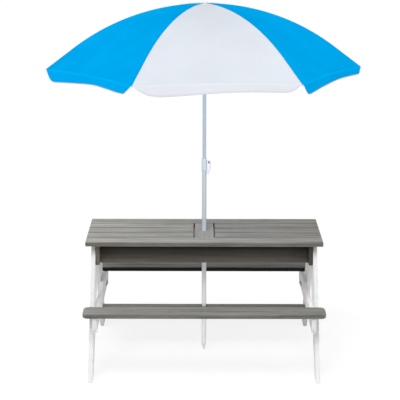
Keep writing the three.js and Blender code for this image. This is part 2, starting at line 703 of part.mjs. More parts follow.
function canopyPanel(name, material) {
  const shares = PANEL_EDGE_SHARES.map((share) => share - 1);
  const acrosses = [...shares, ...shares.toReversed().slice(1).map((share) => -share)];
  const columns = acrosses.length;
  const rows = PANEL_ROW_SHARES.length + 1;
  const positions = [];
  for (const drop of [0, FABRIC]) {
    for (let row = 0; row < rows; row++) {
      for (const across of acrosses) {
        const point = row === rows - 1
          ? valancePoint(across, drop)
          : fabricPoint(PANEL_ROW_SHARES[row], across, drop);
        positions.push(point.x, point.y, point.z);
      }
    }
  }
  const outer = (row, column) => row * columns + column;
  const inner = (row, column) => rows * columns + outer(row, column);
  const indices = [];
  const quad = (a, b, c, d) => indices.push(a, b, c, a, c, d);
  for (let row = 0; row < rows - 1; row++) {
    const below = row + 1;
    for (let column = 0; column < columns - 1; column++) {
      const next = column + 1;
      quad(outer(row, column), outer(below, column), outer(below, next), outer(row, next));
      quad(inner(row, column), inner(row, next), inner(below, next), inner(below, column));
    }
    const last = columns - 1;
    quad(outer(row, 0), inner(row, 0), inner(below, 0), outer(below, 0));
    quad(outer(row, last), outer(below, last), inner(below, last), inner(row, last));
  }
  const hem = rows - 1;
  for (let column = 0; column < columns - 1; column++) {
    const next = column + 1;
    quad(outer(0, column), outer(0, next), inner(0, next), inner(0, column));
    quad(outer(hem, column), inner(hem, column), inner(hem, next), outer(hem, next));
  }
  const geometry = new THREE.BufferGeometry();
  geometry.setAttribute("position", new THREE.Float32BufferAttribute(positions, 3));
  geometry.setIndex(indices);
  geometry.computeVertexNormals();
  const mesh = piece(name, geometry, material);
  mesh.rotation.z = Math.PI / RIBS;
  return mesh;
}

// The whole object
const table = new THREE.Group();
table.add(topRail("top_rail_front", -1), topRail("top_rail_rear", 1), centrePlate());
table.add(lid("lid_left", -1), lid("lid_right", 1));
for (const [end, endName] of [[-1, "left"], [1, "right"]]) {
  table.add(leg("leg_front_" + endName, end, -1), leg("leg_rear_" + endName, end, 1));
  table.add(crossbeam("crossbeam_" + endName, end));
  table.add(boxEnd("box_end_" + endName, end), boxDivider("box_divider_" + endName, end));
  table.add(boxFloor("box_floor_" + endName, end));
}
for (const [side, sideName] of [[-1, "front"], [1, "rear"]]) {
  table.add(bench("bench_" + sideName, side));
  table.add(boxWall("box_wall_" + sideName, side), boxCleat("box_cleat_" + sideName, side));
}
table.add(stretcher());

const parasol = new THREE.Group();
parasol.add(lowerTube(), spike(), upperTube(), clampBody(), clampLever(), finial());
const frame = new THREE.Group();
frame.rotation.z = PARASOL_TURN;
frame.add(hub(), runner());
for (let i = 0; i < RIBS; i++) {
  const arm = new THREE.Group();
  arm.rotation.z = (2 * Math.PI * i) / RIBS;
  arm.add(rib("rib_" + (i + 1)), stretcherRod("stretcher_" + (i + 1)));
  arm.add(canopyPanel("canopy_panel_" + (i + 1), i % 2 === 0 ? whiteFabric : blueFabric));
  frame.add(arm);
}
parasol.add(frame);

const picnicTable = new THREE.Group();
picnicTable.add(table, parasol);
export default picnicTable;
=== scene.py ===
"""The looks of a children's picnic table with a sandbox and a folding parasol, built round its CAD frame.

Metres, +Z up, the origin on the floor under the parasol pole, +X along the table and -Y towards the camera.
"""

import math

import bmesh
import bpy
from mathutils import Matrix, Vector

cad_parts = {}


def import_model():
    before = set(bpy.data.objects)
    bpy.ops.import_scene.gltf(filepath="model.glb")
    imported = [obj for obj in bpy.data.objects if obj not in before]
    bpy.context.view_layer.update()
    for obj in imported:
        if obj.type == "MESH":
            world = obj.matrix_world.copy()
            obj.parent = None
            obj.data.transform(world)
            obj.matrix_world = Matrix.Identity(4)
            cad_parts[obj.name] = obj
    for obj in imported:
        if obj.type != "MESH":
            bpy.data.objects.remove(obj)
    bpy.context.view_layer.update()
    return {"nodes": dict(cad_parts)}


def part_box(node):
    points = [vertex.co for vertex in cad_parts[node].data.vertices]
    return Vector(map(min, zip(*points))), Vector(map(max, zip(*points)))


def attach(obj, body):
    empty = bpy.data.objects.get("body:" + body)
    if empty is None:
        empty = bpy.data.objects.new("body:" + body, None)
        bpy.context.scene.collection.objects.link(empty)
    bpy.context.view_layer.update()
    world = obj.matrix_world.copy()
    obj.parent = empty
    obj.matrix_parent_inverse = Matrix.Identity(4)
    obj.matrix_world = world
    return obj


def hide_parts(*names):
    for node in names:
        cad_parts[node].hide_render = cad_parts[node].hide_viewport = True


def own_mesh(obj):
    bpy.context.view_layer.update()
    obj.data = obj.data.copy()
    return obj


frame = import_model()
MM = 0.001

# Sizes that the cloth and the fittings share with the CAD
RIBS = 6
PARASOL_TURN = math.radians(4.8)
PEAK = 1.426
CANOPY_RADIUS = 0.632
MERIDIAN_RADIUS = 0.865
MERIDIAN_END = math.radians(37)
FABRIC_START = 0.010
PANEL_SAG = 0.009
HEM_RISE = 0.008
BEAM_INNER = 0.415
LEG_OUTER = 0.449
LEVER_PIN = (0.020, 0.787)
LEVER_AZIMUTH = math.radians(-12)
LEVER_HALF_WIDTH = 0.006


# Colour, node and material helpers
def linear(*rgb):
    """A colour written as 0 to 255 sRGB values, as the linear values that Blender's sockets take."""
    out = [c / 255 for c in rgb]
    out = [c / 12.92 if c <= 0.04045 else ((c + 0.055) / 1.055) ** 2.4 for c in out]
    return (*out, 1.0)


class Graph:
    """A material's node tree with a Principled shader, and short ways to add to it."""

    def __init__(self, name, roughness=0.6, metallic=0.0, specular=0.35, coat=0.0):
        self.material = bpy.data.materials.new(name)
        self.material.use_nodes = True
        self.tree = self.material.node_tree
        self.shader = self.tree.nodes["Principled BSDF"]
        self.set(self.shader, {
            "Roughness": roughness, "Metallic": metallic,
            "Specular IOR Level": specular, "Coat Weight": coat,
        })
        self.place = self.tree.nodes.new("ShaderNodeTexCoord").outputs["Object"]

    def link(self, source, target):
        self.tree.links.new(source, target)

    def set(self, node, values):
        for key, value in values.items():
            socket = node.inputs[key]
            if isinstance(value, bpy.types.NodeSocket):
                self.link(value, socket)
            else:
                socket.default_value = value
        return node

    def mapped(self, scale=(1, 1, 1), offset=(0, 0, 0), turn=(0, 0, 0), vector=None):
        node = self.tree.nodes.new("ShaderNodeMapping")
        values = {
            "Vector": vector or self.place, "Scale": scale, "Location": offset, "Rotation": turn,
        }
        return self.set(node, values).outputs["Vector"]

    def noise(self, vector, scale, detail, rough=0.5):
        node = self.tree.nodes.new("ShaderNodeTexNoise")
        values = {"Vector": vector, "Scale": scale, "Detail": detail, "Roughness": rough}
        return self.set(node, values).outputs["Fac"]

    def ramp(self, value, *stops, smooth=False):
        node = self.tree.nodes.new("ShaderNodeValToRGB")
        ramp = node.color_ramp
        ramp.interpolation = "EASE" if smooth else "LINEAR"
        while len(ramp.elements) < len(stops):
            ramp.elements.new(0.5)
        for element, (position, colour) in zip(ramp.elements, stops):
            element.position = position
            element.color = colour if hasattr(colour, "__len__") else (colour, colour, colour, 1)
        self.link(value, node.inputs["Fac"])
        return node.outputs["Color"]

    def mix(self, factor, a, b, mode="MIX"):
        node = self.tree.nodes.new("ShaderNodeMix")
        node.data_type = "RGBA"
        node.blend_type = mode
        for socket, value in ((node.inputs[0], factor), (node.inputs[6], a), (node.inputs[7], b)):
            if isinstance(value, bpy.types.NodeSocket):
                self.link(value, socket)
            else:
                socket.default_value = value
        return node.outputs[2]

    def maths(self, operation, a, b=0.0, clamp=False):
        node = self.tree.nodes.new("ShaderNodeMath")
        node.operation = operation
        node.use_clamp = clamp
        return self.set(node, {0: a, 1: b}).outputs[0]

    def split(self, vector):
        node = self.tree.nodes.new("ShaderNodeSeparateXYZ")
        return self.set(node, {0: vector}).outputs

    def length(self, vector):
        node = self.tree.nodes.new("ShaderNodeVectorMath")
        node.operation = "LENGTH"
        return self.set(node, {0: vector}).outputs["Value"]

    def bump(self, height, distance, strength):
        node = self.tree.nodes.new("ShaderNodeBump")
        self.set(node, {"Height": height, "Distance": distance, "Strength": strength})
        self.link(node.outputs["Normal"], self.shader.inputs["Normal"])

    def colour(self, socket):
        self.link(socket, self.shader.inputs["Base Color"])

    def roughness(self, socket):
        self.link(socket, self.shader.inputs["Roughness"])

    def normal(self):
        return self.place.node.outputs["Normal"]

    def attribute(self, name):
        node = self.tree.nodes.new("ShaderNodeAttribute")
        node.attribute_name = name
        return node.outputs["Vector"]


def placed(name, data):
    """A new object for a mesh, lamp or camera, in the scene."""
    thing = bpy.data.objects.new(name, data)
    bpy.context.scene.collection.objects.link(thing)
    return thing


def dress(names, material):
    """Gives CAD nodes a material."""
    for name in names:
        node = frame["nodes"][name]
        node.data.materials.clear()
        node.data.materials.append(material)


# Timber: streaks along the grain, pores, a few knots, painted shade on faces and grime beside the joints.
# Each scale is features per metre, along the grain first and then across it.
BEND_SCALE = (2.5, 9, 9)
BEND_DEPTH = (0.0, 0.025, 0.025)
STREAK_SCALE = (2.6, 75, 75)
PORE_SCALE = (16, 480, 480)
CLOUD_SCALE = (1.6, 14, 14)
KNOT_SCALE = (3.1, 9.5, 9.5)
SEED_STEP = (1.37, 0.71, 0.43)
TONE_SPAN = 0.17
EYE_STRETCH = 1.7
GRIME_WANDER = 0.012
GRIME = ((0.0005, 0.62), (0.0062, 0.0))
CLOUDS = ((0.4, 0.0), (0.62, 0.45))
PORES = ((0.36, 0.5), (0.5, 0.0))
KNOT_RIM = (0.03, 0.085)
EYE_RIM = (0.45, 1.1)
# Painted shade: the shares of colour kept at the three heights of the upward darkening, and the facings
# over which faces turned towards -Y lose colour.
PAINTED_SHADE_SHARES = (1.0, 0.5, 0.15)
PAINTED_SHADE_FACING = (0.3, 0.95)
ROUGHNESS = ((0.3, 0.82), (0.7, 0.66))
GRAIN_HEIGHT = 0.0006


def timber(
    name, pale, middle, dark, seed, grain="X", knots=0.6, contrast=1.0, side=1.0, painted_shade_slope=0.0,
    eyes=(), joints=None, painted_shade_heights=None,
):
    """One board's wood.

    Eyes are single knots (x, y, size, strength) and joints the Y of the board's two grimy edges. Side is
    the share of its colour that a face towards -Y keeps, a painted shade on those faces. The painted shade
    slope darkens the other faces towards +X by so much for each metre, and the painted shade heights are
    three heights over which the colour gets darker upwards, a painted shade under the top.
    """
    g = Graph(name, specular=0.2)
    turn = (0, 0, math.pi / 2) if grain == "Y" else (0, 0, 0)
    base = g.mapped(offset=tuple(seed * step for step in SEED_STEP), turn=turn)
    bend = g.noise(g.mapped(scale=BEND_SCALE, vector=base), 1.0, 2.0)
    warped = g.tree.nodes.new("ShaderNodeVectorMath")
    warped.operation = "MULTIPLY_ADD"
    g.set(warped, {0: bend, 1: BEND_DEPTH, 2: base})
    flow = warped.outputs[0]
    streak = g.noise(g.mapped(scale=STREAK_SCALE, vector=flow), 1.0, 6.0, 0.62)
    pores = g.noise(g.mapped(scale=PORE_SCALE, vector=flow), 1.0, 3.0, 0.6)
    broad = g.noise(g.mapped(scale=CLOUD_SCALE, vector=flow), 1.0, 2.0)
    half = TONE_SPAN / contrast
    tone = g.ramp(streak, (0.5 - half, dark), (0.5, middle), (0.5 + half, pale))
    tone = g.mix(g.ramp(broad, *CLOUDS), tone, pale)
    tone = g.mix(g.ramp(pores, *PORES), tone, dark)
    deep = (dark[0] * 0.5, dark[1] * 0.46, dark[2] * 0.42, 1)
    if knots:
        knot = g.tree.nodes.new("ShaderNodeTexVoronoi")
        g.set(knot, {"Vector": g.mapped(scale=KNOT_SCALE, vector=flow), "Scale": 1.0})
        eye = g.ramp(knot.outputs["Distance"], *zip(KNOT_RIM, (knots, 0.0)), smooth=True)
        tone = g.mix(eye, tone, deep)
    for x, y, size, strength in eyes:
        away = g.length(g.mapped(scale=(1, EYE_STRETCH, 0), offset=(-x, -EYE_STRETCH * y, 0)))
        ring = g.maths("ADD", away, g.maths("MULTIPLY", streak, size * 0.5))
        spot = g.ramp(g.maths("DIVIDE", ring, size), *zip(EYE_RIM, (strength, 0.0)), smooth=True)
        tone = g.mix(spot, tone, deep)
    if joints:
        y = g.split(g.place)[1]
        near = g.maths("SUBTRACT", y, joints[0])
        far = g.maths("SUBTRACT", joints[1], y)
        wander = g.maths("MULTIPLY", g.maths("SUBTRACT", streak, 0.5), GRIME_WANDER)
        worn = g.maths("ADD", g.maths("MINIMUM", near, far), wander)
        tone = g.mix(g.ramp(worn, *GRIME), tone, deep)
    facing = g.maths("MULTIPLY", g.split(g.normal())[1], -1.0, True)
    # Painted shade: the faces not turned towards -Y darken towards +X, as if lit from the left.
    if painted_shade_slope:
        x = g.maths("MULTIPLY", g.split(g.place)[0], g.maths("SUBTRACT", 1.0, facing, True))
        shade = g.maths("ADD", 1.0, g.maths("MULTIPLY", x, -painted_shade_slope))
        tone = g.mix(1.0, tone, shade, "MULTIPLY")
    # Painted shade: the colour darkens upwards over three heights, as in the shade under the top.
    if painted_shade_heights:
        shade = g.ramp(g.split(g.place)[2], *zip(painted_shade_heights, PAINTED_SHADE_SHARES))
        tone = g.mix(1.0, tone, shade, "MULTIPLY")
    # Painted shade: faces turned towards -Y keep only the side share of their colour.
    if side != 1.0:
        tone = g.mix(1.0, tone, g.ramp(facing, *zip(PAINTED_SHADE_FACING, (1.0, side))), "MULTIPLY")
    g.colour(tone)
    g.roughness(g.ramp(streak, *ROUGHNESS))
    g.bump(g.mix(0.4, streak, pores), GRAIN_HEIGHT, 0.5)
    return g.material


def tones(r, g, b, spread=1.0):
    """Pale, middle and dark shades of a timber round one colour."""
    shades = [[min(max(c + step * spread, 0), 255) for c in (r, g, b)] for step in (11, 0, -24)]
    return [linear(*shade) for shade in shades]


OUT_OF_REACH = 1.0


def jointed(name):
    """The Y of a top board's edges that lie beside another board. An outer edge is put out of reach."""
    ys = [v.co.y for v in frame["nodes"][name].data.vertices]
    front = -OUT_OF_REACH if "front" in name else min(ys)
    rear = OUT_OF_REACH if "rear" in name else max(ys)
    return front, rear


TOP = {
    "top_rail_front": (161, 156, 147),
    "top_rail_rear": (149, 145, 137),
    "lid_left_plank_1": (157, 152, 143),
    "lid_left_plank_2": (152, 148, 139),
    "lid_left_plank_3": (154, 149, 141),
    "lid_right_plank_1": (148, 144, 136),
    "lid_right_plank_2": (145, 141, 133),
    "lid_right_plank_3": (143, 139, 132),
}
KNOTS = {"top_rail_front": [
    (-0.262, -0.204, 0.008, 0.7), (-0.246, -0.200, 0.006, 0.6), (0.21, -0.195, 0.006, 0.5),
]}
TOP_SPREAD = 1.8
# Painted shade on the top's boards: their faces towards -Y keep 0.37 of their colour, and their other faces
# darken towards +X.
for index, (node, colour) in enumerate(TOP.items()):
    dress([node], timber(
        "grey_" + node, *tones(*colour, TOP_SPREAD), 1.7 + 2.3 * index, knots=0.45, side=0.37,
        painted_shade_slope=0.6 if node == "top_rail_rear" else 0.4, eyes=KNOTS.get(node, ()), joints=jointed(node),
    ))
# Painted shade: the rear bench, in the shade of the top, has a darker colour than the front one and its
# face towards -Y keeps almost none of it; the front bench's face towards -Y keeps 0.53, and both darken
# towards +X.
BENCHES = {"bench_front": ((139, 137, 131), 23.7, 0.53), "bench_rear": ((112, 110, 106), 27.8, 0.06)}
for node, (colour, seed, side) in BENCHES.items():
    shades = tones(*colour, TOP_SPREAD)
    dress([node], timber("grey_" + node, *shades, seed, knots=0.5, side=side, painted_shade_slope=0.3))
# Painted shade: the stretcher darkens strongly towards +X, and its faces towards -Y keep 0.7 of their
# colour.
stretcher = timber("grey_stretcher", *tones(138, 136, 133), 33.0, side=0.7, painted_shade_slope=0.7)
dress(["lower_stretcher"], stretcher)
dress(["centre_plate"], timber("grey_plate", *tones(156, 151, 144), 41.0, "Y", knots=0.0))
battens = ["lid_%s_batten_%d" % (side, n) for side in ("left", "right") for n in (1, 2)]
dress(battens, timber("grey_battens", *tones(156, 154, 148), 47.0, "Y"))

# The sandbox: its boards' dark brown-grey tone is partly their own wood and partly a painted shade of the
# top; they darken towards +X, and the front wall gets a painted shade that darkens it upwards
BOX_BOARDS = ["box_wall_front", "box_wall_rear", "box_cleat_front", "box_cleat_rear"]
PAINTED_SHADE_FROM = (0.405, 0.44, 0.465)
for index, node in enumerate(BOX_BOARDS):
    painted_shade_heights = PAINTED_SHADE_FROM if node == "box_wall_front" else None
    shades = tones(100, 94, 87, 0.6)
    dress([node], timber("box_" + node, *shades, 53.0 + 3.1 * index, painted_shade_slope=0.3, painted_shade_heights=painted_shade_heights))
# Painted shade: the right end board's colour is much darker than the left one's, as in shade from the left.
BOX_ENDS = {"box_end_left": (107, 99, 90), "box_end_right": (70, 66, 60)}
for index, (node, colour) in enumerate(BOX_ENDS.items()):
    dress([node], timber("box_" + node, *tones(*colour, 0.9), 71.0 + 2.9 * index, "Y"))
# Painted light: the dividers are paler than the other box boards, which lightens the shaded grooves beside
# the centre plate.
for index, node in enumerate(["box_divider_left", "box_divider_right"]):
    dress([node], timber("box_" + node, *tones(170, 166, 160), 77.0 + 2.9 * index, "Y"))
plywood = timber("plywood", *tones(194, 174, 142), 90.0, "X", 0.0, 0.7)
dress(["box_floor_left", "box_floor_right"], plywood)

WHITE_BOARDS = ["crossbeam_left", "crossbeam_right", "leg_front_left", "leg_front_right"]
WHITE_BOARDS += ["leg_rear_left", "leg_rear_right"]
WHITE_SHADES = (linear(254, 254, 254), linear(252, 252, 252), linear(238, 238, 238))
# Painted shade: the faces of legs and crossbeams towards -Y keep 0.67 of the white.
for index, node in enumerate(WHITE_BOARDS):
    seed = 11.0 + 5 * index
    paint = timber("white_" + node, *WHITE_SHADES, seed, "Y", knots=0.12, contrast=0.7, side=0.67)
    dress([node], paint)


# Painted tubes, plastic and wire
def speckled(name, colour, shade, scale, bump, foot=None, tip=None, **shader):
    """Two close shades in fine grains.

    The colour of a foot takes over between two heights, and that of a tip past a reach from the pole.
    """
    g = Graph(name, **shader)
    grain = g.noise(g.place, scale, 3.0)
    tone = g.mix(g.ramp(grain, (0.35, 0.0), (0.65, 1.0)), colour, shade)
    if foot:
        (high, low), pale = foot
        tone = g.mix(g.ramp(g.split(g.place)[2], (low, 1.0), (high, 0.0)), tone, pale)
    if tip:
        reach, pale = tip
        capped = g.ramp(g.length(g.mapped(scale=(1, 1, 0))), (reach, 0.0), (reach + MM, 1.0))
        tone = g.mix(capped, tone, pale)
        g.link(g.ramp(capped, (0.0, shader["metallic"]), (1.0, 0.0)), g.shader.inputs["Metallic"])
    g.colour(tone)
    g.bump(grain, bump, 0.4)
    return g.material


UPPER_TUBE = speckled(
    "upper_tube_paint", linear(181, 192, 199), linear(172, 184, 192), 260, 0.0001,
    roughness=0.35, specular=0.45, coat=0.15,
)
LOWER_TUBE = speckled(
    "lower_tube_paint", linear(193, 203, 207), linear(185, 196, 200), 260, 0.0001,
    foot=((0.53, 0.40), linear(233, 236, 238)), roughness=0.38, specular=0.45, coat=0.1,
)
PLASTIC = speckled(
    "moulded_plastic", linear(236, 238, 240), linear(229, 232, 235), 400, 0.00005,
    roughness=0.42, specular=0.45,
)
CLAMP = speckled(
    "clamp_plastic", linear(206, 215, 221), linear(198, 208, 215), 400, 0.00005,
    roughness=0.4, specular=0.45,
)
LEVER = speckled(
    "lever_plastic", linear(238, 236, 242), linear(230, 228, 236), 400, 0.00005,
    roughness=0.4, specular=0.45,
)
WIRE = speckled(
    "galvanised_wire", linear(190, 195, 200), linear(165, 170, 176), 900, 0.00005,
    tip=(CANOPY_RADIUS, linear(236, 236, 240)), roughness=0.35, metallic=0.85,
)
ZINC = speckled(
    "zinc_plated_steel", linear(196, 197, 199), linear(168, 169, 172), 700, 0.00008,
    roughness=0.4, metallic=0.6,
)
DARK_STEEL = speckled(
    "blackened_steel", linear(74, 74, 80), linear(58, 58, 64), 700, 0.00008,
    roughness=0.45, metallic=0.5,
)
dress(["upper_tube"], UPPER_TUBE)
dress(["lower_tube"], LOWER_TUBE)
dress(["clamp_body"], CLAMP)
dress(["clamp_lever"], LEVER)
dress(["ground_spike", "top_notch", "finial", "runner"], PLASTIC)
wires = [kind % n for kind in ("rib_%d", "stretcher_%d") for n in range(1, RIBS + 1)]
dress(wires, WIRE)
ROUND_NODES = ["lower_tube", "upper_tube", "ground_spike", "clamp_body", "clamp_lever"]
ROUND_NODES += ["top_notch", "finial", "runner"] + wires
SHARP_NODE_ANGLE = math.radians(40)
for name in ROUND_NODES:
    mesh = frame["nodes"][name].data
    mesh.polygons.foreach_set("use_smooth", [True] * len(mesh.polygons))
    mesh.set_sharp_from_angle(angle=SHARP_NODE_ANGLE)


# Bolts, screws and the lever's rivet, each turned round its own axis
SHARP_METAL_ANGLE = math.radians(35)


def turned(mesh, place, axis, profile, sides):
    """Adds a closed turned body. The profile is (radius, height) in millimetres, from pole to pole."""
    direction = Vector(axis).normalized()
    turn = direction.to_track_quat("Z", "X")
    rings = []
    for radius, height in ((radius * MM, height * MM) for radius, height in profile):
        if radius == 0:
            rings.append([mesh.verts.new(Vector(place) + direction * height)])
            continue
        ring = []
        for i in range(sides):
            angle = 2 * math.pi * i / sides
            offset = turn @ Vector((radius * math.cos(angle), radius * math.sin(angle), height))
            ring.append(mesh.verts.new(Vector(place) + offset))
        rings.append(ring)
    for low, high in zip(rings, rings[1:]):
        for i in range(sides):
            j = (i + 1) % sides
            if len(low) == 1:
                mesh.faces.new((low[0], high[j], high[i]))
            elif len(high) == 1:
                mesh.faces.new((low[i], low[j], high[0]))
            else:
                mesh.faces.new((low[i], low[j], high[j], high[i]))


def fitting(name, body, material, bodies):
    """One small metal piece made of turned bodies, riding on a body of the frame."""
    mesh = bmesh.new()
    for place, axis, profile, sides in bodies:
        turned(mesh, place, axis, profile, sides)
    bmesh.ops.recalc_face_normals(mesh, faces=mesh.faces)
    for face in mesh.faces:
        face.smooth = True
    data = bpy.data.meshes.new(name)
    mesh.to_mesh(data)
    mesh.free()
    data.set_sharp_from_angle(angle=SHARP_METAL_ANGLE)
    data.materials.append(material)
    piece = placed(name, data)
    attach(piece, body)


# Profiles in millimetres
DOME = [(0, 0), (9, 0), (9, 0.8), (8.2, 2.2), (6.2, 3.5), (3.4, 4.2), (0, 4.5)]
WASHER = [(0, 0), (8.5, 0), (8.5, 1.0), (0, 1.0)]
NUT = [(0, 1.0), (6.6, 1.0), (7.2, 1.5), (7.2, 4.2), (6.6, 4.8), (0, 4.8)]
STUD = [(0, 4.8), (2.9, 4.8), (2.9, 6.0), (2.3, 6.6), (0, 6.6)]
SCREW = [(0, 0), (4.2, 0), (4.0, 0.7), (3.0, 1.3), (1.6, 1.5), (1.2, 0.7), (0, 0.5)]
RIVET = [(0, 0), (3.6, 0), (3.4, 0.9), (2.2, 1.5), (0, 1.7)]
HEAD_SIDES = 20
NUT_SIDES = 6
RIVET_SIDES = 16
SMALL_SIDES = 12

# Where the bolts go through leg and crossbeam: distance from the middle and height
BOLTS = {"front": ((0.245, 0.222), (0.300, 0.228)), "rear": ((0.255, 0.214), (0.315, 0.208))}
BATTEN_SCREWS = (-0.092, 0.0, 0.092)
DOWN = (0, 0, -1)

for side, end in ((-1, "left"), (1, "right")):
    for row, place in ((-1, "front"), (1, "rear")):
        for number, (y, z) in enumerate(BOLTS[place], 1):
            outside = Vector((side * LEG_OUTER, row * y, z))
            inside = Vector((side * BEAM_INNER, row * y, z))
            outward, inward = (side, 0, 0), (-side, 0, 0)
            fitting("leg_bolt_%s_%s_%d" % (place, end, number), "table", ZINC, [
                (outside, outward, DOME, HEAD_SIDES),
                (inside, inward, WASHER, HEAD_SIDES),
                (inside, inward, NUT, NUT_SIDES),
                (inside, inward, STUD, SMALL_SIDES),
            ])
    for number in (1, 2):
        low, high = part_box("lid_%s_batten_%d" % (end, number))
        x = (low[0] + high[0]) / 2
        screws = [((x, y, low[2]), DOWN, SCREW, SMALL_SIDES) for y in BATTEN_SCREWS]
        fitting("batten_screws_%s_%d" % (end, number), "lid_" + end, ZINC, screws)

pin_reach, pin_height = LEVER_PIN
out = Vector((math.cos(LEVER_AZIMUTH), math.sin(LEVER_AZIMUTH), 0))
beside = Vector((math.sin(LEVER_AZIMUTH), -math.cos(LEVER_AZIMUTH), 0))
pin = out * pin_reach + Vector((0, 0, pin_height))
fitting("lever_rivet", "lever", DARK_STEEL, [
    (pin + beside * LEVER_HALF_WIDTH, beside, RIVET, RIVET_SIDES),
    (pin - beside * LEVER_HALF_WIDTH, -beside, RIVET, RIVET_SIDES),
])


# Cloth of the canopy
WEAVE_AROUND = 900.0
WEAVE_DOWN = 5200.0
WEAVE_HEIGHT = 0.3
STITCHES = 1400.0
STITCH_ROW = 0.006
FLAP_REACH = 0.036
PUCKER_HEIGHT = 8.0
PUCKERS_AT_SEAM = ((14, 70, 0), 0.035)
PUCKERS_AT_HEM = ((70, 14, 0), 0.02)
CLOTH_RELIEF = 0.0004


def cloth(name, colour, shade, flap, thread, painted_crease_highlight, edge, specular):
    """Plain-woven polyester, with its seams, a hem crease with a painted highlight, stitches, puckers and
    the flap's pale edge.

    The attribute cloth_at holds the distance from the seam, the distance from the lower edge, which is the
    hem crease on a panel and the rim on a flap, and the share of the flap that lies above, 0 on a panel.
    """
    g = Graph(name, roughness=0.88, specular=specular)
    x, y, z = g.split(g.place)
    angle = g.maths("ARCTAN2", y, x)
    around = g.maths("MULTIPLY", angle, WEAVE_AROUND)
    down = g.maths("MULTIPLY", z, WEAVE_DOWN)
    weave = g.maths("MULTIPLY", g.maths("SINE", around), g.maths("SINE", down))
    cloud = g.noise(g.place, 7.0, 3.0)
    at = g.attribute("cloth_at")
    across, hem, fall = g.split(at)
    from_seam = g.maths("ABSOLUTE", across)
    tone = g.mix(g.ramp(cloud, (0.35, 0.0), (0.65, 1.0)), colour, shade)
    tone = g.mix(g.ramp(fall, (0.0, 0.0), (0.05, 1.0)), tone, flap)

    seam = g.ramp(from_seam, (0.0, 1.0), (0.003, 0.2), (0.007, 0.35), (0.0085, 0.0))
    tone = g.mix(g.maths("MULTIPLY", seam, 0.35), tone, thread)

    along = g.maths("MULTIPLY", g.maths("ADD", angle, z), STITCHES)
    stitch = g.maths("GREATER_THAN", g.maths("SINE", along), -0.2)
    from_row = g.maths("ABSOLUTE", g.maths("SUBTRACT", hem, STITCH_ROW))
    stitches = g.maths("MULTIPLY", g.ramp(from_row, (0.0004, 1.0), (0.0009, 0.0)), stitch)
    tone = g.mix(g.maths("MULTIPLY", stitches, 0.5), tone, thread)

    # Painted highlight: a pale band along the hem crease, on the lower edge of the panel and the top of the
    # flap.
    on_flap = g.ramp(fall, (0.0, 0.0), (0.004, 1.0))
    from_crease = g.mix(on_flap, hem, g.maths("MULTIPLY", fall, FLAP_REACH))
    crease = g.ramp(g.maths("ABSOLUTE", from_crease), (0.001, 1.0), (0.008, 0.0), smooth=True)
    tone = g.mix(g.maths("MULTIPLY", crease, 0.6), tone, painted_crease_highlight)

    rim = g.ramp(hem, (0.0016, 1.0), (0.0026, 0.0))
    trim = g.maths("MULTIPLY", rim, g.ramp(fall, (0.5, 0.0), (0.6, 1.0)))
    tone = g.mix(g.maths("MULTIPLY", trim, 0.75), tone, edge)
    g.colour(tone)

    fold = g.maths("MULTIPLY", g.maths("ADD", seam, crease), 0.6)
    height = g.maths("ADD", g.maths("MULTIPLY", weave, WEAVE_HEIGHT), fold)
    for distance, (scale, width) in ((across, PUCKERS_AT_SEAM), (hem, PUCKERS_AT_HEM)):
        gathers = g.noise(g.mapped(scale=scale, vector=at), 1.0, 2.0)
        near = g.ramp(g.maths("ABSOLUTE", distance), (0.0, 1.0), (width, 0.0), smooth=True)
        pucker = g.maths("MULTIPLY", g.maths("MULTIPLY", gathers, near), PUCKER_HEIGHT)
        height = g.maths("ADD", height, pucker)
    g.bump(height, CLOTH_RELIEF, 0.3)
    return g.material


PALE_BINDING = linear(196, 200, 232)
# The crease colours of both cloths are painted highlights.
BLUE = cloth(
    "blue_polyester", linear(0, 163, 230), linear(0, 158, 225), flap=linear(0, 163, 231),
    thread=linear(0, 134, 204), painted_crease_highlight=linear(2, 177, 246), edge=PALE_BINDING, specular=0.0,
)
WHITE = cloth(
    "white_polyester", linear(210, 215, 222), linear(206, 211, 219), flap=linear(211, 213, 220),
    thread=linear(190, 195, 206), painted_crease_highlight=linear(216, 219, 226), edge=linear(214, 214, 222), specular=0.1,
)
EDGE = Graph("flap_edge_binding", roughness=0.8, specular=0.1)
EDGE.colour(EDGE.mix(EDGE.noise(EDGE.place, 300.0, 2.0), PALE_BINDING, linear(214, 217, 240)))


def meridian(distance, drop):
    """A point of the canopy's rib line: how far out and how high, at a distance along the cloth.

    It is an arc that goes over into a straight slope. Drop is the depth under the cloth's upper side.
    """
    angle = min(distance / MERIDIAN_RADIUS, MERIDIAN_END)
    straight = max(distance - MERIDIAN_RADIUS * MERIDIAN_END, 0)
    arm = MERIDIAN_RADIUS - drop
    reach = arm * math.sin(angle) + straight * math.cos(angle)
    rise = arm * math.cos(angle) - straight * math.sin(angle) - MERIDIAN_RADIUS
    return reach, PEAK + rise


def meridian_distance(reach):
    """The distance along the cloth at which the rib line is so far out."""
    arc = MERIDIAN_RADIUS * math.sin(MERIDIAN_END)
    if reach <= arc:
        return MERIDIAN_RADIUS * math.asin(reach / MERIDIAN_RADIUS)
    return MERIDIAN_RADIUS * MERIDIAN_END + (reach - arc) / math.cos(MERIDIAN_END)


CLOTH_FROM = meridian_distance(FABRIC_START)
CLOTH_END = meridian_distance(CANOPY_RADIUS)
CLOTH_ROWS = 28
CLOTH_COLUMNS = 26
COLUMN_CROWDING = 1.6
NARROW = 0.004
VALANCE_ROWS = 6
VALANCE_FLARE = 0.2
VALANCE_WAVE = 0.0025
WAVES_ACROSS = 5.1
WAVE_SHIFT = 1.9
FLAP_SEAM_OFFSET = 0.004
THICKNESS = 0.0011
WELD_DISTANCE = 0.000005
STRAY_LENGTH = 0.000001
HALF_TURN = math.pi / RIBS
SLIT_SHARE = 0.985

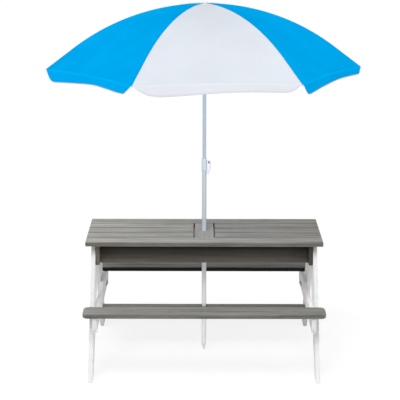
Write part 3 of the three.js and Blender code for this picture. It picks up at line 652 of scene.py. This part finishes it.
# How far each panel's flap hangs, in millimetres, from its clockwise end (-1) to the other (1).
# Panels 3, 4 and 5 are the left, the middle and the right one of those towards the camera.
EVEN = [
    (-1, 0), (-0.97, 14), (-0.93, 24), (-0.86, 32), (-0.7, 37), (0, 35),
    (0.7, 37), (0.86, 32), (0.93, 24), (0.97, 14), (1, 0),
]
FLAPS = {
    3: [
        (-1, 0), (-0.96, 14), (-0.92, 24), (-0.87, 36), (-0.75, 46), (-0.5, 43), (-0.2, 38),
        (0.23, 31), (0.53, 34), (0.74, 37), (0.85, 36), (0.91, 24), (0.96, 11), (1, 0),
    ],
    4: [
        (-1, 0), (-0.97, 9), (-0.92, 21), (-0.82, 36), (-0.68, 44), (-0.47, 43), (-0.15, 38),
        (0.16, 33), (0.5, 31), (0.78, 31), (0.88, 27), (0.94, 18), (0.98, 7), (1, 0),
    ],
    5: [
        (-1, 0), (-0.965, 9), (-0.93, 25), (-0.89, 39), (-0.8, 45), (-0.7, 43), (-0.36, 35),
        (0.24, 29), (0.7, 28), (0.89, 27), (0.95, 14), (1, 0),
    ],
}


def hang(panel, across):
    """The flap's length at a place across its panel, on a smooth curve through the table."""
    points = FLAPS.get(panel, EVEN)
    across = min(max(across / SLIT_SHARE, -1), 1)
    i = max(n for n in range(len(points) - 1) if points[n][0] <= across)

    def slope(n):
        if n in (0, len(points) - 1):
            m = min(n, len(points) - 2)
            return (points[m + 1][1] - points[m][1]) / (points[m + 1][0] - points[m][0])
        left = (points[n][1] - points[n - 1][1]) / (points[n][0] - points[n - 1][0])
        right = (points[n + 1][1] - points[n][1]) / (points[n + 1][0] - points[n][0])
        return 0 if left * right <= 0 else 2 * left * right / (left + right)

    width = points[i + 1][0] - points[i][0]
    t = (across - points[i][0]) / width
    low, high = points[i][1], points[i + 1][1]
    value = (2 * t**3 - 3 * t**2 + 1) * low + (3 * t**2 - 2 * t**3) * high
    value += width * ((t**3 - 2 * t**2 + t) * slope(i) + (t**3 - t**2) * slope(i + 1))
    return max(value, 0) * MM


def cloth_point(out, across, drop):
    """A point of a panel whose middle lies over +X.

    Out goes from the pole (0) to the hem (1) and across from rib to rib (-1 to 1). Drop is the depth under
    the cloth's upper side.
    """
    reach, height = meridian(CLOTH_FROM + out * (CLOTH_END - CLOTH_FROM), drop)
    swell = 1 - across**2
    sag = swell * (PANEL_SAG * math.sin(math.pi * out) - HEM_RISE * out**4)
    return Vector((reach * math.cos(HALF_TURN), across * reach * math.sin(HALF_TURN), height - sag))


def valance_point(down, across, drop, panel):
    """A point of the flap that hangs from a panel's hem, a little outwards and with a shallow wave."""
    point = cloth_point(1, across, drop)
    length = hang(panel, across)
    wave = VALANCE_WAVE * math.sin(across * WAVES_ACROSS + panel * WAVE_SHIFT)
    wave *= down * min(1, 4 * (1 - abs(across)))
    point.x += down * VALANCE_FLARE * length + wave
    point.z -= down * length
    return point


def shares():
    """Even steps from the pole (0) to the hem (1), with a narrow one at each end."""
    steps = [i / CLOTH_ROWS for i in range(CLOTH_ROWS + 1)]
    return [0, NARROW, *steps[1:-1], 1 - NARROW, 1]


def columns():
    """Places from the rib (0) to the middle of the panel (1), closest together where the flap is round."""
    steps = [(i / CLOTH_COLUMNS) ** COLUMN_CROWDING for i in range(CLOTH_COLUMNS + 1)]
    inner = [step for step in steps[1:-1] if NARROW < step < 1 - NARROW]
    return [0, NARROW, *inner, 1 - NARROW, 1]


ROWS = [("panel", share) for share in shares()]
ROWS += [("flap", (i + 1) / VALANCE_ROWS) for i in range(VALANCE_ROWS)]


def cloth_layer(mesh, at, panel, acrosses, drop):
    """The grid of vertices of one side of the cloth, each with what the cloth's material has to know."""
    turn = Matrix.Rotation(PARASOL_TURN + (panel + 0.5) * 2 * HALF_TURN, 4, "Z")
    layer = []
    for kind, share in ROWS:
        line = []
        for across in acrosses:
            if kind == "panel":
                point = cloth_point(share, across, drop)
                from_rib = point.x * math.tan(HALF_TURN) - abs(point.y)
                place = (from_rib, (1 - share) * (CLOTH_END - CLOTH_FROM), 0)
            else:
                point = valance_point(share, across, drop, panel)
                from_rib = CANOPY_RADIUS * math.sin(HALF_TURN) * (1 - abs(across))
                place = (from_rib + FLAP_SEAM_OFFSET, (1 - share) * hang(panel, across), share)
            vertex = mesh.verts.new(turn @ point)
            vertex[at] = place
            line.append(vertex)
        layer.append(line)
    return layer


def cloth_faces(outer, inner):
    """The faces of both sides of the cloth, and those of its cut edges."""
    faces, edges = [], []
    rows, steps = range(len(outer) - 1), range(len(outer[0]) - 1)
    for r in rows:
        for c in steps:
            faces.append((outer[r][c], outer[r + 1][c], outer[r + 1][c + 1], outer[r][c + 1]))
            faces.append((inner[r][c], inner[r][c + 1], inner[r + 1][c + 1], inner[r + 1][c]))
    for r in rows:
        edges.append((outer[r][-1], outer[r + 1][-1], inner[r + 1][-1], inner[r][-1]))
        if ROWS[r + 1][0] == "flap":
            edges.append((outer[r][0], inner[r][0], inner[r + 1][0], outer[r + 1][0]))
    for c in steps:
        edges.append((outer[0][c], outer[0][c + 1], inner[0][c + 1], inner[0][c]))
        edges.append((outer[-1][c], inner[-1][c], inner[-1][c + 1], outer[-1][c + 1]))
    return faces, edges


WHITE_INDEX, BLUE_INDEX, EDGE_INDEX = range(3)


def gore(index):
    """The cloth round one rib: half of the panel on each side of it, with its flaps."""
    mesh = bmesh.new()
    at = mesh.verts.layers.float_vector.new("cloth_at")
    for side in (-1, 1):
        panel = (index - 1 + (0 if side > 0 else -1)) % RIBS
        acrosses = [side * (share - 1) for share in columns()]
        outer, inner = (cloth_layer(mesh, at, panel, acrosses, drop) for drop in (0, THICKNESS))
        faces, edges = cloth_faces(outer, inner)
        panel_index = BLUE_INDEX if panel % 2 else WHITE_INDEX
        edge_index = EDGE_INDEX if panel % 2 else WHITE_INDEX
        for group, material_index in ((faces, panel_index), (edges, edge_index)):
            for corners in group:
                face = mesh.faces.new(corners if side > 0 else corners[::-1])
                face.smooth = True
                face.material_index = material_index
    bmesh.ops.remove_doubles(mesh, verts=mesh.verts, dist=WELD_DISTANCE)
    bmesh.ops.dissolve_degenerate(mesh, dist=STRAY_LENGTH, edges=mesh.edges)
    data = bpy.data.meshes.new("canopy_gore_%d" % index)
    mesh.to_mesh(data)
    mesh.free()
    for material in (WHITE, BLUE, EDGE.material):
        data.materials.append(material)
    return placed("canopy_gore_%d" % index, data)


gores = []
for index in range(1, RIBS + 1):
    piece = gore(index)
    azimuth = PARASOL_TURN + (index - 1) * 2 * HALF_TURN
    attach(piece, "rib_arm_%d" % index)
    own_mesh(piece)
    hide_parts("canopy_panel_%d" % index)
    gores.append(piece)


# Floor, light and camera
FLOOR_SIZE = 300
FLOOR_BOUNCE = 0.85
FLOOR_SEEN = 0.22
FLOOR_GLOW = 0.8
AMBIENT = 0.42
LAMP_SPREAD = math.radians(40)
LAMP_DISTANCE = 5
LAMPS = {"key": (-15, 50, 2.0), "fill_right": (64, 11, 0.84), "fill_left": (-52, 11, 0.4)}
CAMERA_PLACE = Vector((-0.02421, -6.84138, 1.9918))
CAMERA_TURN = (0.06, 11.26, 0.11)
SENSOR = 36.0
FOCAL_PIXELS = 1720
IMAGE_PIXELS = 400
VIEW_END = 1000


def grey(level):
    return (level, level, level, 1)


def stage():
    """A pale floor. The camera sees it as white paper that keeps the object's shadow."""
    mesh = bmesh.new()
    bmesh.ops.create_grid(mesh, x_segments=1, y_segments=1, size=FLOOR_SIZE)
    data = bpy.data.meshes.new("floor")
    mesh.to_mesh(data)
    mesh.free()
    floor = placed("floor", data)
    material = bpy.data.materials.new("floor_paper")
    material.use_nodes = True
    tree = material.node_tree
    tree.nodes.clear()
    diffuse = tree.nodes.new("ShaderNodeBsdfDiffuse")
    diffuse.inputs["Color"].default_value = grey(FLOOR_BOUNCE)
    seen = tree.nodes.new("ShaderNodeBsdfDiffuse")
    seen.inputs["Color"].default_value = grey(FLOOR_SEEN)
    glow = tree.nodes.new("ShaderNodeEmission")
    glow.inputs["Color"].default_value = grey(1)
    glow.inputs["Strength"].default_value = FLOOR_GLOW
    both = tree.nodes.new("ShaderNodeAddShader")
    choose = tree.nodes.new("ShaderNodeMixShader")
    path = tree.nodes.new("ShaderNodeLightPath")
    out = tree.nodes.new("ShaderNodeOutputMaterial")
    links = tree.links
    links.new(seen.outputs[0], both.inputs[0])
    links.new(glow.outputs[0], both.inputs[1])
    links.new(path.outputs["Is Camera Ray"], choose.inputs[0])
    links.new(diffuse.outputs[0], choose.inputs[1])
    links.new(both.outputs[0], choose.inputs[2])
    links.new(choose.outputs[0], out.inputs["Surface"])
    data.materials.append(material)


def world():
    """Even light from all round, which the camera and reflections see as white."""
    sky = bpy.data.worlds.new("studio")
    bpy.context.scene.world = sky
    sky.use_nodes = True
    tree = sky.node_tree
    back = tree.nodes["Background"]
    back.inputs["Color"].default_value = grey(1)
    path = tree.nodes.new("ShaderNodeLightPath")
    seen = tree.nodes.new("ShaderNodeMath")
    seen.operation = "MAXIMUM"
    tree.links.new(path.outputs["Is Camera Ray"], seen.inputs[0])
    tree.links.new(path.outputs["Is Glossy Ray"], seen.inputs[1])
    level = tree.nodes.new("ShaderNodeMapRange")
    level.inputs["To Min"].default_value = AMBIENT
    level.inputs["To Max"].default_value = 1.0
    tree.links.new(seen.outputs[0], level.inputs["Value"])
    tree.links.new(level.outputs[0], back.inputs["Strength"])


def sun(name, azimuth, elevation, strength):
    """A distant soft lamp, whose light the thin cloth lets through.

    Azimuth 0 is the camera's side and 90 the right.
    """
    lamp = bpy.data.lights.new(name, "SUN")
    lamp.angle = LAMP_SPREAD
    lamp.energy = strength
    holder = placed(name, lamp)
    a, e = math.radians(azimuth), math.radians(elevation)
    back = Vector((math.sin(a) * math.cos(e), -math.cos(a) * math.cos(e), math.sin(e)))
    holder.location = LAMP_DISTANCE * back
    thin = bpy.data.collections.new(name + "_passes")
    for piece in gores:
        thin.objects.link(piece)
    holder.light_linking.blocker_collection = thin
    for member in thin.collection_objects:
        member.light_linking.link_state = "EXCLUDE"
    holder.rotation_mode = "QUATERNION"
    holder.rotation_quaternion = (-back).to_track_quat("-Z", "Y")


def camera():
    """The camera that was fitted to the photograph. Its turn is yaw, pitch and roll in degrees."""
    yaw, pitch, roll = (math.radians(angle) for angle in CAMERA_TURN)
    level = math.cos(pitch)
    forward = Vector((math.sin(yaw) * level, math.cos(yaw) * level, -math.sin(pitch)))
    right = Vector((math.cos(yaw), -math.sin(yaw), 0))
    up = right.cross(forward)
    rolled_right = math.cos(roll) * right + math.sin(roll) * up
    rolled_up = math.cos(roll) * up - math.sin(roll) * right
    data = bpy.data.cameras.new("camera")
    data.sensor_width = SENSOR
    data.lens = SENSOR * FOCAL_PIXELS / IMAGE_PIXELS
    data.clip_end = VIEW_END
    holder = placed("camera", data)
    turn = Matrix((rolled_right, rolled_up, -forward)).transposed()
    holder.matrix_world = Matrix.Translation(CAMERA_PLACE) @ turn.to_4x4()
    bpy.context.scene.camera = holder


stage()
world()
for name, (azimuth, elevation, strength) in LAMPS.items():
    sun(name, azimuth, elevation, strength)
camera()

view = bpy.context.scene.view_settings
view.view_transform = "Standard"
